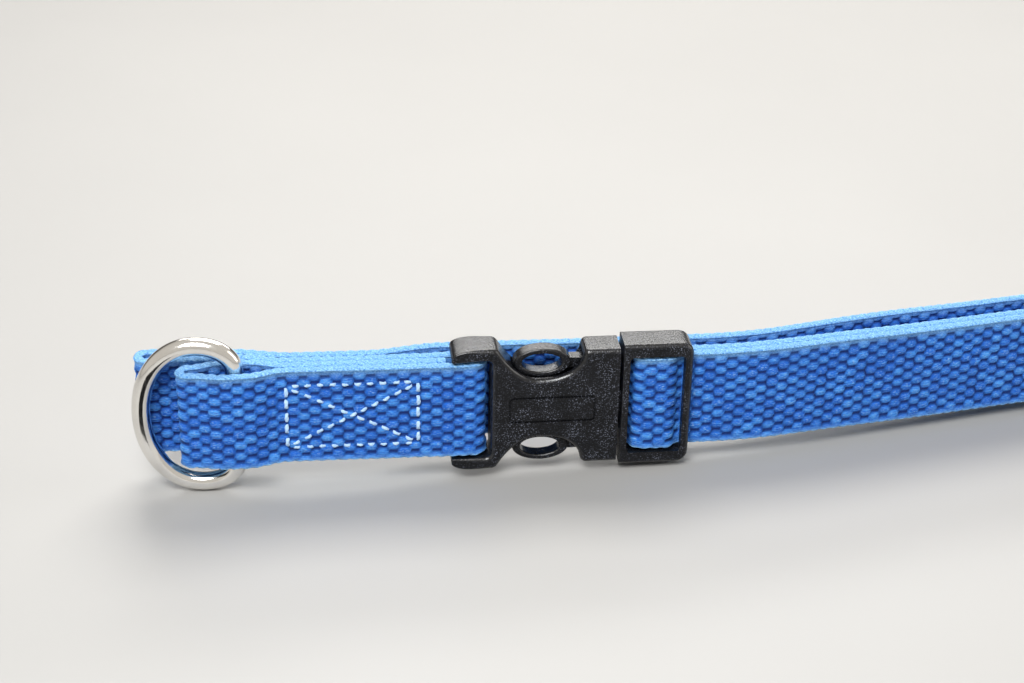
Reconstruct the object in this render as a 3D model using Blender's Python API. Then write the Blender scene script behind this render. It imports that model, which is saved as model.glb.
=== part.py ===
"""Quick-release pet collar: 25 mm webbing, side-release buckle, D-ring and tri-glide adjuster.

The collar is a closed loop of webbing, pressed flat and standing on its long edge.
X runs along the strap, Y through its thickness (the outer face looks towards -Y), Z up.
The origin is on the flat back face of the buckle, at mid-width of the strap.
Sizes are in millimetres; object_from turns them into metres.
"""
import math

import bmesh
import bpy
import numpy as np
from mathutils import Vector

MM = 0.001

# Webbing
WIDTH = 25.0                # along Z
THICK = 2.2                 # one layer
GAP = 0.25                  # between neighbouring layers
PITCH = THICK + GAP         # from layer to layer

# Buckle, shared by both halves
BUCKLE_T = 8.4              # thickness, from y = -8.4 (front) to y = 0 (back)
MID_Y = -BUCKLE_T / 2
ARM_Z = 16.3                # half height over the arms and the male frame
SLOT_Z = 13.0               # half height of the webbing slots
SPLIT_X = 11.5              # line where the two halves meet
FEMALE_RIM_X = SPLIT_X - 0.4
MALE_RIM_X = SPLIT_X + 0.5
BUCKLE_BEVEL = 0.7
BAR_HALF_T = 1.3            # half thickness of both webbing bars, along Y
OVERCUT = 2.0               # how far a cutter reaches past the surface it cuts

# Strap's turns round the buckle bars
LOOP_X, LOOP_R = -24.3, 2.7     # female bar
WRAP_X, WRAP_R = 17.8, 2.75     # male bar

# Rear run and left bend
REAR_Y = 3.2                # centre line of the rear run behind the buckle
REAR_END_X = 0.15           # each strap's rear end stops this far from x = 0
BEND_X, BEND_Y, BEND_R = -99.7, MID_Y + 6.85, 2.2

# Right-hand run: straight from FRONT_X, a gentle turn towards +Y, then straight again
FRONT_X = 28.0
TURN_X, TURN_R = 32.0, 140.0
TURN_ANGLE = math.radians(10.0)
OUTER_Y = MID_Y - 0.45
INNER_Y = OUTER_Y + PITCH
REAR_OFF = (REAR_Y - OUTER_Y, 10.0)     # rear run behind the outer layer, at the buckle, further on
REAR_OFF_LENGTH = 60.0      # run length over which that offset changes
# Lengths along this run, from FRONT_X
RIGHT_BEND_AT = 115.9
SLIDER_AT = 106.0
INNER_END_AT = 89.7

# Sewing
SEWN_X = (-67.6, -36.7)     # left and right rows of the sewn box
SEWN_Z = 8.25               # half height of the sewn box
THREAD_R = 0.45
THREAD_LIFT = 0.12          # from the webbing's face to the base of the thread


# ---------------------------------------------------------------- scene helpers
def make_material(name, colour, roughness, metallic=0.0):
    mat = bpy.data.materials.new(name)
    mat.use_nodes = True
    inputs = mat.node_tree.nodes["Principled BSDF"].inputs
    inputs["Base Color"].default_value = (*colour, 1.0)
    inputs["Roughness"].default_value = roughness
    inputs["Metallic"].default_value = metallic
    mat.diffuse_color = (*colour, 1.0)
    return mat


def object_from(name, mesh, mat, origin=(0.0, 0.0, 0.0), sharp_angle=30.0):
    """Turns a bmesh in millimetres into an object with its origin at the given point."""
    bmesh.ops.recalc_face_normals(mesh, faces=mesh.faces)
    origin = Vector(origin)
    for vert in mesh.verts:
        vert.co = (vert.co - origin) * MM
    data = bpy.data.meshes.new(name)
    mesh.to_mesh(data)
    mesh.free()
    piece = bpy.data.objects.new(name, data)
    piece.location = origin * MM
    bpy.context.scene.collection.objects.link(piece)
    if mat:
        data.materials.append(mat)
    data.shade_smooth()
    data.set_sharp_from_angle(angle=math.radians(sharp_angle))
    return piece


def helper(name, mesh):
    """A hidden object that serves as the operand of a boolean."""
    piece = object_from(name, mesh, None)
    piece.hide_render = True
    piece.hide_viewport = True
    piece.display_type = "WIRE"
    return piece


def boolean(piece, operand, operation):
    mod = piece.modifiers.new(operation.lower() + "_" + operand.name, "BOOLEAN")
    mod.operation = operation
    mod.object = operand
    mod.solver = "EXACT"


def cut(piece, name, mesh):
    boolean(piece, helper(name, mesh), "DIFFERENCE")


def join(piece, name, mesh):
    boolean(piece, helper(name, mesh), "UNION")


def bevel(piece, width, segments=2):
    mod = piece.modifiers.new("bevel", "BEVEL")
    mod.width = width * MM
    mod.segments = segments
    mod.limit_method = "ANGLE"
    mod.angle_limit = math.radians(35.0)
    mod.use_clamp_overlap = True


# ---------------------------------------------------------------- outlines and solids
def ellipse_arc(x, z, half_x, half_z, start, end, steps):
    """Points on an ellipse round (x, z), from the start angle to the end angle in degrees."""
    angles = [math.radians(start + (end - start) * i / steps) for i in range(steps + 1)]
    return [(x + half_x * math.cos(angle), z + half_z * math.sin(angle)) for angle in angles]


def arc(x, z, radius, start, end, steps):
    return ellipse_arc(x, z, radius, radius, start, end, steps)


def oval(x, z, half_x, half_z, steps):
    return ellipse_arc(x, z, half_x, half_z, 0, 360, steps)[:-1]


def round_rect(x0, x1, z0, z1, radius, steps=3):
    return (arc(x1 - radius, z1 - radius, radius, 0, 90, steps)
            + arc(x0 + radius, z1 - radius, radius, 90, 180, steps)
            + arc(x0 + radius, z0 + radius, radius, 180, 270, steps)
            + arc(x1 - radius, z0 + radius, radius, 270, 360, steps))


def flip_z(points, sign=-1):
    return [(x, sign * z) for x, z in points]


def with_mirror(half):
    """Closes the upper half of an outline with its mirror image below z = 0."""
    return half + flip_z(reversed(half))


def prism(outline, y0, y1):
    """A bmesh that extrudes an (x, z) outline from y0 to y1."""
    mesh = bmesh.new()
    face = mesh.faces.new([mesh.verts.new((x, y0, z)) for x, z in outline])
    for item in bmesh.ops.extrude_face_region(mesh, geom=[face])["geom"]:
        if isinstance(item, bmesh.types.BMVert):
            item.co.y = y1
    return mesh


def box(x0, x1, y0, y1, z0, z1):
    return prism([(x0, z0), (x1, z0), (x1, z1), (x0, z1)], y0, y1)


def skin(mesh, rings, closed=False):
    """Joins rings of vertices with faces; the ends are capped, or joined if closed."""
    following = rings[1:] + (rings[:1] if closed else [])
    for ring, after in zip(rings, following):
        for i in range(len(ring)):
            j = (i + 1) % len(ring)
            mesh.faces.new((ring[i], ring[j], after[j], after[i]))
    if not closed:
        mesh.faces.new(rings[0][::-1])
        mesh.faces.new(rings[-1])
    return mesh


def strap(points):
    """A flat strap of constant thickness along a path in the XY plane."""
    path = [points[0]]
    for point in points[1:]:
        if math.dist(point, path[-1]) > 0.02:
            path.append(point)
    last = len(path) - 1
    mesh = bmesh.new()
    rings = []
    for i, point in enumerate(path):
        here = Vector(point)
        before, after = Vector(path[max(i - 1, 0)]), Vector(path[min(i + 1, last)])
        if 0 < i < last:
            arriving = (here - before).normalized()
            tangent = (arriving + (after - here).normalized()).normalized()
            mitre = 1.0 / max(0.5, tangent.dot(arriving))
        else:
            tangent, mitre = (after - before).normalized(), 1.0
        side = Vector((-tangent.y, tangent.x)) * (THICK / 2 * mitre)
        right, left = here - side, here + side
        rings.append([mesh.verts.new(corner) for corner in (
            (*right, -WIDTH / 2), (*left, -WIDTH / 2), (*left, WIDTH / 2), (*right, WIDTH / 2))])
    return skin(mesh, rings)


# ---------------------------------------------------------------- strap paths, in the XY plane
def smoothstep(t):
    t = min(1.0, max(0.0, t))
    return t * t * (3 - 2 * t)


def s_bend(start, end, heading, steps=6):
    """Points after start up to end on a cubic that leaves and arrives along heading (degrees)."""
    span = math.dist(start, end)
    pull = (math.cos(math.radians(heading)) * span, math.sin(math.radians(heading)) * span)
    points = []
    for i in range(1, steps + 1):
        t = i / steps
        ease = smoothstep(t)
        points.append(tuple(start[k] + (end[k] - start[k]) * ease + pull[k] * (t - ease)
                            for k in range(2)))
    return points


def front_point(length, offset=0.0):
    """Point on the right-hand run at a length from FRONT_X, moved by offset towards +Y."""
    lead = TURN_X - FRONT_X
    heading = min(TURN_ANGLE, max(0.0, (length - lead) / TURN_R))
    beyond = max(0.0, length - lead - TURN_ANGLE * TURN_R)
    cos, sin = math.cos(heading), math.sin(heading)
    x = FRONT_X + min(length, lead) + TURN_R * sin + beyond * cos
    y = OUTER_Y + TURN_R * (1 - cos) + beyond * sin
    return (x - offset * sin, y + offset * cos)


def rear_offset(length):
    near, far = REAR_OFF
    return near + (far - near) * smoothstep(length / REAR_OFF_LENGTH)


def left_path():
    """From the rear run by way of the left bend and female bar to the end between the layers."""
    # rear run and left bend
    path = [(-REAR_END_X, REAR_Y), (-31.0, REAR_Y)]
    path += s_bend(path[-1], (-48.0, MID_Y + 5.0), 180, 8)
    path += [(-66.0, MID_Y + 5.0)]
    path += s_bend(path[-1], (-81.0, MID_Y + 7.6), 180)
    path += s_bend(path[-1], (BEND_X, BEND_Y + BEND_R), 180)
    path += arc(BEND_X, BEND_Y, BEND_R, 90, 270, 12)[1:]
    # main layer
    path += [(-77.0, BEND_Y - BEND_R)]
    path += s_bend(path[-1], (-68.0, MID_Y + PITCH), 0, 5)
    path += [(-36.0, MID_Y + PITCH)]
    # turn round the female bar
    path += s_bend(path[-1], (-30.0, MID_Y + LOOP_R), 0, 3)
    path += [(LOOP_X, MID_Y + LOOP_R)]
    path += arc(LOOP_X, MID_Y, LOOP_R, 90, -90, 10)[1:]
    path += [(-30.0, MID_Y - LOOP_R)]
    # outer layer
    path += s_bend(path[-1], (-36.0, MID_Y - PITCH), 180, 3)
    path += [(SEWN_X[0], MID_Y - PITCH)]
    # fold that holds the D-ring
    path += s_bend(path[-1], (-77.2, MID_Y - 4.8), 180)
    path += [(-81.5, MID_Y - 4.8)]
    path += s_bend(path[-1], (-89.9, MID_Y - 3.4), 180)
    path += arc(-89.9, MID_Y - 1.4, 2.0, 270, 90, 8)[1:]
    path += s_bend(path[-1], (-82.8, MID_Y + 2.2), 0, 5)
    path += [(-76.6, MID_Y + 2.2)]
    # end between the outer and main layers
    path += s_bend(path[-1], (SEWN_X[0], MID_Y), 0, 5)
    path += [(-30.0, MID_Y)]
    return path


def right_path():
    """From the rear run by way of the right bend and male bar to the start of the inner layer."""
    # rear run and right bend
    path = [(REAR_END_X, REAR_Y), (24.0, REAR_Y)]
    path += [front_point(at, rear_offset(at)) for at in np.linspace(0, RIGHT_BEND_AT, 34)]
    radius = REAR_OFF[1] / 2
    heading = math.degrees(TURN_ANGLE)
    centre = front_point(RIGHT_BEND_AT, radius)
    path += arc(*centre, radius, 90 + heading, -90 + heading, 12)[1:]
    # outer layer
    path += [front_point(at) for at in (90, 60, 32, *np.linspace(28, 4, 7))]
    path += [(26.4, OUTER_Y)]
    # turn round the male bar
    path += s_bend(path[-1], (22.8, MID_Y - WRAP_R), 180, 8)
    path += [(WRAP_X, MID_Y - WRAP_R)]
    path += arc(WRAP_X, MID_Y, WRAP_R, 270, 90, 10)[1:]
    path += [(22.0, MID_Y + WRAP_R)]
    path += s_bend(path[-1], (27.0, INNER_Y), 0, 4)
    path += [(29.0, INNER_Y)]
    return path


def inner_path():
    """Inner layer, from next to the male bar's turn to the adjuster."""
    return [front_point(at, PITCH) for at in (1.3, 4.0, *np.linspace(8, 32, 7), 60, INNER_END_AT)]


# ---------------------------------------------------------------- buckle
FEMALE_TIP_X = -28.8        # end of the female arms
FEMALE_EDGE_X = -19.4       # body edge next to the female slot
TIP_A, TIP_B = 6.5, 2.1     # half axes of the rounded ends of the arms
WALL = 1.6
MOUTH_Z = 15.4              # half height of the female mouth
CAVITY_X = -14.5            # closed end of the cavity
PANEL_X, PANEL_Z, PANEL_DEPTH = (-15.2, 5.6), 3.6, 0.3      # shallow recess in the front face

# Hollow in each long side: a parabola left of SCOOP_X, a superellipse right of it
SCOOP_X, WAIST_Z = -8.2, 7.9        # deepest point
SCOOP_CURVE = 0.084
SCOOP_RIGHT, SCOOP_POWER = 10.9, 2.4

MALE_END_X = 28.8
MALE_CORNER_R = 2.8
WINDOW_X = (13.5, 26.8)
TONGUE_HALF_T = 1.5
TONGUE_X, TONGUE_Z, TONGUE_R = -8.5, 1.0, 1.6       # tip corner centres and radius

PAD_X, PAD_Z, PAD_A, PAD_B = -7.2, 11.4, 6.8, 3.75      # centre and half axes of the oval pad
PAD_Y = (MID_Y - 2.2, MID_Y + 1.7)                      # front and back of the pads
HOLE_A, HOLE_B = 4.8, 2.4
PRONG_ROOT = (11.0, 10.1)           # x, z of the flexing root of the upper prong
STEM_Y = (MID_Y - 1.6, MID_Y + 1.3)
# x, z of the upper prong's stem
STEM = [(MALE_RIM_X - 0.3, 9.2), (MALE_RIM_X - 0.3, 12.2), (-1.8, 12.4), (-1.8, 9.9)]


def scoop(steps=10):
    """Outline of the upper hollow, left to right, closed off beyond the arm."""
    left = math.sqrt((ARM_Z - WAIST_Z) / SCOOP_CURVE)
    rim = []
    for i in range(steps):
        reach = left * (1 - i / steps)
        rim.append((SCOOP_X - reach, WAIST_Z + SCOOP_CURVE * reach ** 2))
    for i in range(steps + 1):
        angle = math.pi / 2 * i / steps
        across = math.sin(angle) ** (2 / SCOOP_POWER)
        down = max(0.0, math.cos(angle)) ** (2 / SCOOP_POWER)
        rim.append((SCOOP_X + SCOOP_RIGHT * across, WAIST_Z + (ARM_Z - WAIST_Z) * (1 - down)))
    return [(rim[0][0], ARM_Z + 4)] + rim + [(rim[-1][0], ARM_Z + 4)]


def join_bar(piece, name, x0, x1, radius):
    """Adds a webbing bar along Z, on the buckle's mid plane, with a rounded XY outline."""
    outline = round_rect(x0, x1, MID_Y - BAR_HALF_T, MID_Y + BAR_HALF_T, radius)
    bar = helper(name, prism(outline, -SLOT_Z - 1, SLOT_Z + 1))
    # swapping Y and Z stands the prism up and mirrors it, so its faces are flipped
    for vert in bar.data.vertices:
        vert.co = Vector((vert.co.x, vert.co.z, vert.co.y))
    bar.data.flip_normals()
    boolean(piece, bar, "UNION")


def female(mat):
    """Body with a cavity, two hollowed sides and arms that hold the left webbing bar."""
    half = [(FEMALE_RIM_X, MOUTH_Z), (1.5, MOUTH_Z), (-17.0, ARM_Z)]
    half += ellipse_arc(FEMALE_TIP_X + TIP_A, ARM_Z - TIP_B, TIP_A, TIP_B, 90, 180, 6)
    half += [(FEMALE_TIP_X, SLOT_Z), (FEMALE_EDGE_X, SLOT_Z)]
    body = object_from("buckle_female", prism(with_mirror(half), -BUCKLE_T, 0), mat)
    for sign, side in ((1, "top"), (-1, "bottom")):
        cutter = prism(flip_z(scoop(), sign), -BUCKLE_T - OVERCUT, OVERCUT)
        cut(body, f"scoop_{side}_cut", cutter)
    bevel(body, BUCKLE_BEVEL)
    cut(body, "cavity_cut", box(CAVITY_X, FEMALE_RIM_X + 3, -BUCKLE_T + WALL, -WALL,
                                -MOUTH_Z + WALL, MOUTH_Z - WALL))
    panel = round_rect(*PANEL_X, -PANEL_Z, PANEL_Z, 1.2)
    cut(body, "panel_cut", prism(panel, -BUCKLE_T - 1, -BUCKLE_T + PANEL_DEPTH))
    join_bar(body, "female_bar", -26.6, -23.0, 1.0)


def male(mat):
    """Frame round the right webbing bar, with a guide tongue that runs into the female half."""
    corner = arc(MALE_END_X - MALE_CORNER_R, ARM_Z - MALE_CORNER_R, MALE_CORNER_R, 0, 90, 5)
    half = [(MALE_RIM_X, ARM_Z)] + corner[::-1]
    frame = object_from("buckle_male", prism(with_mirror(half), -BUCKLE_T, 0), mat)
    bevel(frame, BUCKLE_BEVEL)
    window = round_rect(*WINDOW_X, -SLOT_Z, SLOT_Z, 1.0)
    cut(frame, "window_cut", prism(window, -BUCKLE_T - OVERCUT, OVERCUT))
    # opens the right end of the frame for the webbing
    cut(frame, "tail_gate_cut", box(WINDOW_X[1] - 1.0, MALE_END_X + OVERCUT,
                                    OUTER_Y - 1.4, OVERCUT, -SLOT_Z, SLOT_Z))
    join_bar(frame, "male_bar", 16.5, 19.6, 1.1)
    tongue = [(MALE_RIM_X + 1.0, -3.0), (MALE_RIM_X + 1.0, 3.0)]
    tongue += arc(TONGUE_X, TONGUE_Z, TONGUE_R, 90, 180, 3)
    tongue += arc(TONGUE_X, -TONGUE_Z, TONGUE_R, 180, 270, 3)
    join(frame, "guide_tongue", prism(tongue, MID_Y - TONGUE_HALF_T, MID_Y + TONGUE_HALF_T))


def prong(name, sign, mat):
    """Flexing arm: a stem and an oval finger pad with an oval hole. Its origin is at the root."""
    root = (PRONG_ROOT[0], MID_Y, sign * PRONG_ROOT[1])
    outline = flip_z(oval(PAD_X, PAD_Z, PAD_A, PAD_B, 26), sign)
    pad = object_from(name, prism(outline, *PAD_Y), mat, root)
    bevel(pad, 0.6)
    join(pad, name + "_stem", prism(flip_z(STEM, sign), *STEM_Y))
    hole = flip_z(oval(PAD_X - 0.1, PAD_Z, HOLE_A, HOLE_B, 20), sign)
    cut(pad, name + "_hole", prism(hole, MID_Y - 5, MID_Y + 5))


# ---------------------------------------------------------------- D-ring
WIRE_R = 2.2
RING_X, RING_Y = -79.3, MID_Y - 1.3     # centre line of the straight bar
RING_REACH = 22.3           # bar centre line to the top of the bow
RING_HALF = 18.2            # half height of the wire centre line
CORNER_A, CORNER_B = 8.5, 6.2           # half axes of the two corners
CORNER_ANGLES = (12, 26, 42, 58, 74, 90)
BOW_POWER = 2.1             # superellipse power of the bow
RING_LEAN = math.radians(4.0)           # how far the bow leans back


def ring_line(steps=36):
    """Closed centre line of the D, as (reach, z): a straight bar, two soft corners and a bow."""
    corner_z = RING_HALF - CORNER_B
    corner = [(CORNER_A - CORNER_A * math.cos(math.radians(angle)),
               corner_z + CORNER_B * math.sin(math.radians(angle))) for angle in CORNER_ANGLES]
    points = [(0.0, -corner_z), (0.0, 0.0), (0.0, corner_z)] + corner
    for i in range(1, steps):
        angle = math.pi / 2 - math.pi * i / steps
        cos, sin = math.cos(angle), math.sin(angle)
        reach = CORNER_A + (RING_REACH - CORNER_A) * abs(cos) ** (2 / BOW_POWER)
        points.append((reach, RING_HALF * math.copysign(abs(sin) ** (2 / BOW_POWER), sin)))
    return points + flip_z(reversed(corner))


def d_ring(mat, sides=10):
    line = ring_line()
    mesh = bmesh.new()
    cos, sin = math.cos(RING_LEAN), math.sin(RING_LEAN)
    rings = []
    for i, (line_reach, line_z) in enumerate(line):
        tangent = (Vector(line[(i + 1) % len(line)]) - Vector(line[i - 1])).normalized()
        ring = []
        for k in range(sides):
            angle = 2 * math.pi * (k + 0.5) / sides
            sideways, depth = WIRE_R * math.cos(angle), WIRE_R * math.sin(angle)
            reach = line_reach + tangent.y * sideways
            ring.append(mesh.verts.new((RING_X - reach * cos + depth * sin,
                                        RING_Y + reach * sin + depth * cos,
                                        line_z - tangent.x * sideways)))
        rings.append(ring)
    object_from("d_ring", skin(mesh, rings, closed=True), mat, (RING_X, RING_Y, 0.0), 60.0)


# ---------------------------------------------------------------- adjuster
# Drawn round its own centre: x along the strap, y away from the outer layer.
GLIDE_X, GLIDE_Z = 6.8, 15.4            # half sizes of the frame
GLIDE_WINDOW_X, GLIDE_WINDOW_Z = 4.4, SLOT_Z - 0.1
POST_X, POST_Z = 2.3, (12.95, 15.0)
END_BAR_X = 0.8                         # centre of the strap's turn round the bar
END_Y = 2 * PITCH + 0.1                 # centre line of the strap's folded end


def at_slider(mesh):
    """Moves a bmesh from the adjuster's own frame into its place on the strap."""
    centre_x, centre_y = front_point(SLIDER_AT)
    cos, sin = math.cos(TURN_ANGLE), math.sin(TURN_ANGLE)
    for vert in mesh.verts:
        x, y = vert.co.x, vert.co.y
        vert.co.x = centre_x + x * cos - y * sin
        vert.co.y = centre_y + x * sin + y * cos
    return mesh


def slider(mat):
    """Flat frame in front of the strap, with two posts that carry a bar behind it."""
    outline = round_rect(-GLIDE_X, GLIDE_X, -GLIDE_Z, GLIDE_Z, 1.8)
    frame = object_from("tri_glide", at_slider(prism(outline, -3.7, -1.4)), mat)
    bevel(frame, 0.6, segments=1)
    cut(frame, "glide_window", at_slider(box(-GLIDE_WINDOW_X, GLIDE_WINDOW_X, -6, 3,
                                             -GLIDE_WINDOW_Z, GLIDE_WINDOW_Z)))
    for sign, side in ((1, "top"), (-1, "bottom")):
        z0, z1 = sorted(sign * z for z in POST_Z)
        join(frame, f"glide_post_{side}", at_slider(box(-POST_X, POST_X, -2.6, 5.9, z0, z1)))
    join(frame, "glide_bar", at_slider(box(-1.5, 1.0, 4.1, 5.7, -14.5, 14.5)))


def slider_end_path():
    """Strap end that turns round the adjuster's bar and folds back on itself."""
    path = [(-16.0, PITCH), (END_BAR_X, PITCH)]
    path += arc(END_BAR_X, 2 * PITCH, PITCH, -90, 90, 10)[1:]
    path += [(-2.0, 3 * PITCH)]
    path += s_bend(path[-1], (-8.5, END_Y), 180, 5)
    path += [(-14.5, END_Y)]
    return path


# ---------------------------------------------------------------- thread
# Bead section: across the line, and height towards -Y, both in thread radii
BEAD_SECTION = ((-1, 0), (1, 0), (0.6, 0.8), (-0.6, 0.8))


def thread_bead(start, end, y, steps=2):
    """A flat-bottomed sewing bead between two (x, z) points, standing towards -Y."""
    start, end = Vector(start), Vector(end)
    tangent = (end - start).normalized()
    mesh = bmesh.new()
    rings = []
    for i in range(steps + 1):
        x, z = start + (end - start) * (i / steps)
        rings.append([mesh.verts.new((x - tangent.y * THREAD_R * across,
                                      y - THREAD_R * height,
                                      z + tangent.x * THREAD_R * across))
                      for across, height in BEAD_SECTION])
    return skin(mesh, rings)


def box_stitches(mat):
    """Box and cross sewing through the three layers left of the buckle."""
    left, right = SEWN_X
    middle = (left + right) / 2
    top = SEWN_Z
    row_left, row_right = left + 0.8, right - 0.8           # ends of the long rows
    cross_left, cross_right = left + 2.2, right - 2.2       # ends of the cross
    cross_top = top - 1.4
    break_x, break_z = 1.5, 0.9     # half sizes of the break where the cross meets
    rows = {
        "box_left": ((left, -top), (left, top)),
        "box_right": ((right, -top), (right, top)),
        "box_top": ((row_left, top), (row_right, top)),
        "box_bottom": ((row_left, -top), (row_right, -top)),
        "cross_long": ((cross_left, -cross_top), (cross_right, cross_top)),
        "cross_upper_left": ((cross_left, cross_top), (middle - break_x, break_z)),
        "cross_lower_right": ((middle + break_x, -break_z), (cross_right, -cross_top)),
    }
    face_y = MID_Y - PITCH - THICK / 2 - THREAD_LIFT
    for name, (start, end) in rows.items():
        object_from("stitch_" + name, thread_bead(start, end, face_y), mat)


def slider_tack(mat):
    """Tack that closes the loop round the adjuster's bar, standing on the strap's back face."""
    tack = thread_bead((-11.0, -9.0), (-11.0, 9.0), 0.0)
    for vert in tack.verts:
        vert.co.y = END_Y + THICK / 2 + THREAD_LIFT - vert.co.y
    object_from("stitch_slider_tack", at_slider(tack), mat)


# ---------------------------------------------------------------- build
def build():
    for old in list(bpy.data.objects):
        bpy.data.objects.remove(old, do_unlink=True)

    blue = make_material("webbing_blue", colour=(0.02, 0.12, 0.52), roughness=0.75)
    black = make_material("buckle_black", colour=(0.012, 0.012, 0.013), roughness=0.42)
    nickel = make_material("ring_nickel", colour=(0.80, 0.79, 0.77), roughness=0.12, metallic=1.0)
    thread = make_material("thread_pale_blue", colour=(0.55, 0.75, 0.92), roughness=0.6)

    object_from("webbing_left", strap(left_path()), blue)
    object_from("webbing_right", strap(right_path()), blue)
    object_from("webbing_inner_run", strap(inner_path()), blue)
    object_from("webbing_slider_end", at_slider(strap(slider_end_path())), blue)

    female(black)
    male(black)
    prong("prong_upper", 1, black)
    prong("prong_lower", -1, black)
    d_ring(nickel)
    slider(black)

    box_stitches(thread)
    slider_tack(thread)


build()
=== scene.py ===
import math

import bmesh
import bpy
import numpy as np
from mathutils import Matrix, Vector


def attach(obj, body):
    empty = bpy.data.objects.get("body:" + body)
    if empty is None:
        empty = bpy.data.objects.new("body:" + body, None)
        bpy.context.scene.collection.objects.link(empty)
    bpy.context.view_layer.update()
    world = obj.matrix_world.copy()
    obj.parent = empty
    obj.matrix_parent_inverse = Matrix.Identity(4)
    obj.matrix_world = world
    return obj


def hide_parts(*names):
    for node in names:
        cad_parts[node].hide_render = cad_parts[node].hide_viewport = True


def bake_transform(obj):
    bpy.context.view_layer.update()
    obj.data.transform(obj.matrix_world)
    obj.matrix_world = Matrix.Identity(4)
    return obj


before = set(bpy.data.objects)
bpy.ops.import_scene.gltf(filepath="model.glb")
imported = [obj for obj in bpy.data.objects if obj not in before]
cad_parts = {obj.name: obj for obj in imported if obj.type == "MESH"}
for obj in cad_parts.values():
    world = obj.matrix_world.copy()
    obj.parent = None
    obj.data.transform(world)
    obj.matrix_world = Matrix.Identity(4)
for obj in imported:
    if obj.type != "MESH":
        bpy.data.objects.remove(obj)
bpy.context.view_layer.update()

MM = 0.001
LOOK = bpy.context.scene

# ---------------------------------------------------------------- the collar's own measures, as in the frame (mm)
WIDTH, THICK, GAP = 25.0, 2.2, 0.25
PITCH = THICK + GAP
BUCKLE_T, MID_Y = 8.4, -4.2
ARM_Z, SLOT_Z = 16.3, 13.0
FEMALE_TIP_X, FEMALE_EDGE_X, SPLIT_X, MALE_END_X = -28.8, -19.4, 11.5, 28.8
TIP_A, TIP_B, LOOP_X, LOOP_R = 6.5, 2.1, -23.85, 2.7
WALL, MOUTH_Z, JOINT_GAP = 1.6, 15.4, 0.45
WINDOW_X, WRAP_X, WRAP_R = (13.5, 26.8), 17.8, 2.75
SCOOP_X, WAIST_Z, SCOOP_K, SCOOP_RIGHT, SCOOP_E = -8.2, 7.9, 0.084, 10.9, 2.4
PAD_X, PAD_Z, PAD_A, PAD_B = -7.2, 11.4, 6.8, 3.75
HOLE_A, HOLE_B, PAD_Y = 4.8, 2.4, (MID_Y - 2.2, MID_Y + 1.7)
WIRE_R, RING_BAR, RING_REACH, RING_HALF, RING_LEAN = 2.2, (-79.3, MID_Y - 1.3), 22.3, 18.2, 4.0
RING_CORNER = (8.5, 6.2)
LEFT_BEND = (-99.7, MID_Y + 6.85, 2.2)
REAR_Y = 3.2
TURN_DEG, TURN_R, TURN_X = 10.0, 140.0, 32.0
OUTER_Y, INNER_Y = MID_Y - 0.45, MID_Y + 2.0
STRAIGHT_END, REAR_OFF, SLIDER_S = 115.9, (REAR_Y - OUTER_Y, 10.0), 106.0


# ---------------------------------------------------------------- paths in the XY plane
def hermite(p0, p1, h0, h1, n=24):
    d = math.dist(p0, p1)
    t0 = (math.cos(math.radians(h0)) * d, math.sin(math.radians(h0)) * d)
    t1 = (math.cos(math.radians(h1)) * d, math.sin(math.radians(h1)) * d)
    out = []
    for i in range(1, n + 1):
        t = i / n
        a, b = 2 * t**3 - 3 * t**2 + 1, t**3 - 2 * t**2 + t
        c, e = -2 * t**3 + 3 * t**2, t**3 - t**2
        out.append((a * p0[0] + b * t0[0] + c * p1[0] + e * t1[0],
                    a * p0[1] + b * t0[1] + c * p1[1] + e * t1[1]))
    return out


def arc(cx, cz, r, a0, a1, n):
    return [(cx + r * math.cos(math.radians(a0 + (a1 - a0) * i / n)),
             cz + r * math.sin(math.radians(a0 + (a1 - a0) * i / n))) for i in range(n + 1)]


def run(p0, p1, h):
    return hermite(p0, p1, h, h)


def front_path(s, off=0.0):
    x0, y0 = 28.0, OUTER_Y
    lead, turn = TURN_X - x0, math.radians(TURN_DEG) * TURN_R
    if s <= lead:
        x, y, h = x0 + s, y0, 0.0
    elif s <= lead + turn:
        h = (s - lead) / TURN_R
        x, y = TURN_X + TURN_R * math.sin(h), y0 + TURN_R * (1 - math.cos(h))
    else:
        h = math.radians(TURN_DEG)
        x = TURN_X + TURN_R * math.sin(h) + (s - lead - turn) * math.cos(h)
        y = y0 + TURN_R * (1 - math.cos(h)) + (s - lead - turn) * math.sin(h)
    return (x - off * math.sin(h), y + off * math.cos(h)), math.degrees(h)


def smoothstep(t):
    t = min(1.0, max(0.0, t))
    return t * t * (3 - 2 * t)


def rear_off(s):
    return REAR_OFF[0] + (REAR_OFF[1] - REAR_OFF[0]) * smoothstep(s / 60.0)


def line(p0, p1, n=8):
    return [(p0[0] + (p1[0] - p0[0]) * i / n, p0[1] + (p1[1] - p0[1]) * i / n) for i in range(1, n + 1)]


REAR_LEFT = [(0.0, REAR_Y), (-31.0, REAR_Y)]
M = MID_Y
REAR_LEFT += run(REAR_LEFT[-1], (-48.0, M + 5.0), 180) + [(-66.0, M + 5.0)]
REAR_LEFT += run((-66.0, M + 5.0), (-81.0, M + 7.6), 180)
REAR_LEFT += run((-81.0, M + 7.6), (LEFT_BEND[0], LEFT_BEND[1] + LEFT_BEND[2]), 180)
MAIN = arc(*LEFT_BEND, 90, 270, 30) + [(-77.0, M + 4.65)]
MAIN += run(MAIN[-1], (-68.0, M + PITCH), 0) + [(-36.0, M + PITCH)]
MAIN += run(MAIN[-1], (-30.0, M + LOOP_R), 0) + [(LOOP_X, M + LOOP_R)]
FRONT_L = arc(LOOP_X, M, LOOP_R, 90, -90, 30) + [(-30.0, M - LOOP_R)]
FRONT_L += run(FRONT_L[-1], (-36.0, M - PITCH), 180) + [(-67.6, M - PITCH)]
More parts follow.
